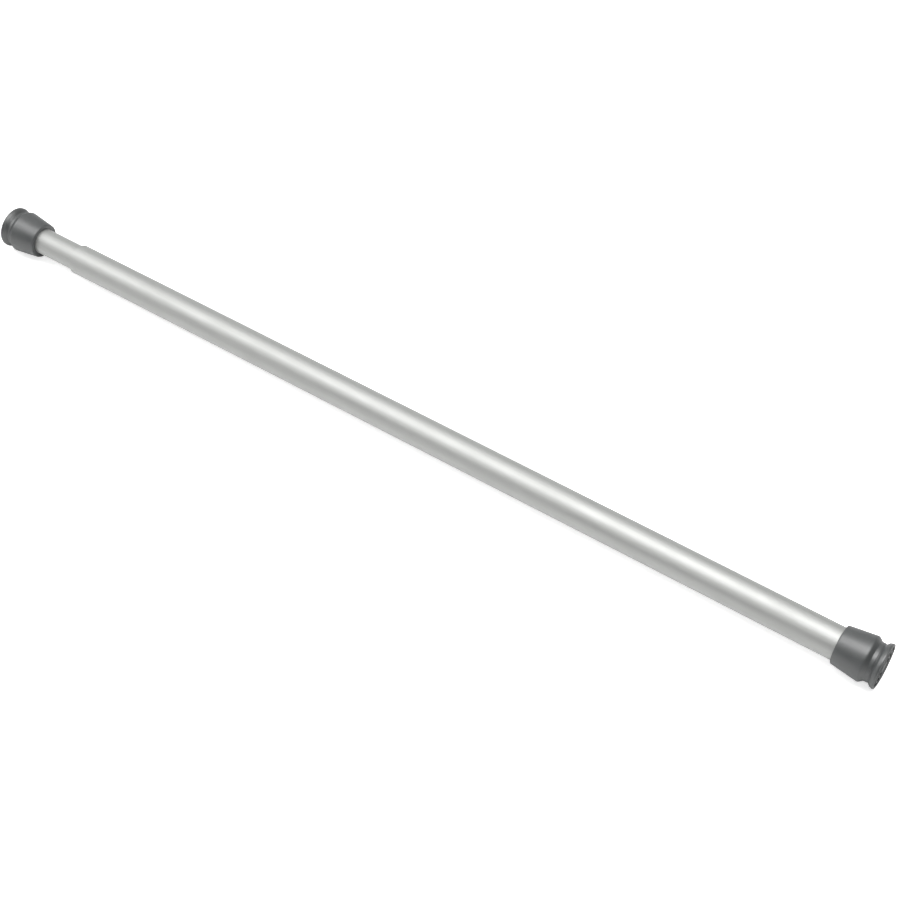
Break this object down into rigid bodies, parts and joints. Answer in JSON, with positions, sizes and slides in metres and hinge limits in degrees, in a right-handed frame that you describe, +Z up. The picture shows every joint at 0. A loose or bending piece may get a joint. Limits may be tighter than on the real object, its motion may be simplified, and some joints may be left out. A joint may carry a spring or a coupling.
{
  "type": "bed cargo bar",
  "caption": "Telescoping tubular cargo bar with rubber feet at both ends, an internal twist lock and a coil spring, wedged between two parallel walls.",
  "frame": {"origin": "centre of the pad face of the big tube's foot", "axes": "+X out of that pad along the bar's axis, the bar running along -X; +Z up with the bar level"},
  "size_m": [1.28, 0.0554, 0.0554],
  "materials": {
    "tube_aluminium": "satin anodised extruded tube",
    "foot_rubber": "satin moulded dark grey rubber",
    "black_nylon": "moulded black nylon",
    "white_acetal": "moulded natural acetal",
    "zinc_steel": "bright zinc-plated steel",
    "spring_steel": "oiled spring steel wire"
  },
  "bodies": {
    "big_tube": {"outer_tube": "tube_aluminium", "outer_foot": "foot_rubber", "outer_end_plug": "black_nylon", "mouth_bush": "black_nylon"},
    "carrier": {"guide_ring": "white_acetal", "drag_spring": "spring_steel"},
    "spindle": {"spindle_rod": "zinc_steel", "cam_core": "black_nylon", "cam_pin": "spring_steel", "cam_end_disc": "zinc_steel", "cam_screw": "zinc_steel", "spring_seat": "zinc_steel", "compression_spring": "spring_steel", "stop_washer": "zinc_steel", "stop_nut": "zinc_steel"},
    "split_ring": {"cam_ring": "white_acetal"},
    "small_tube": {"inner_tube": "tube_aluminium", "inner_foot": "foot_rubber", "inner_end_plug": "black_nylon", "keyed_guide": "black_nylon", "guide_pin_front": "spring_steel", "guide_pin_back": "spring_steel", "wear_ring": "white_acetal", "spring_washer": "zinc_steel"}
  },
  "joints": [
    {"name": "length_slide", "type": "slide", "parent": "big_tube", "child": "carrier", "axis": [-1, 0, 0], "range_m": [0, 0.38]},
    {"name": "twist_lock", "type": "hinge", "parent": "carrier", "child": "spindle", "pos_m": [-0.5805, 0, 0], "axis": [1, 0, 0], "range_deg": [-28, 0]},
    {"name": "ring_turn", "type": "hinge", "parent": "spindle", "child": "split_ring", "pos_m": [-0.5591, -0.00059, 0.0011], "axis": [1, 0, 0], "range_deg": [0, 28]},
    {"name": "spring_stroke", "type": "slide", "parent": "spindle", "child": "small_tube", "axis": [1, 0, 0], "range_m": [0, 0.045], "stiffness_N_per_m": 5000, "springref_m": -0.015, "deforming": ["compression_spring"]}
  ],
  "couplings": [
    {"joint": "ring_turn", "follows": "twist_lock", "ratio": -1}
  ]
}
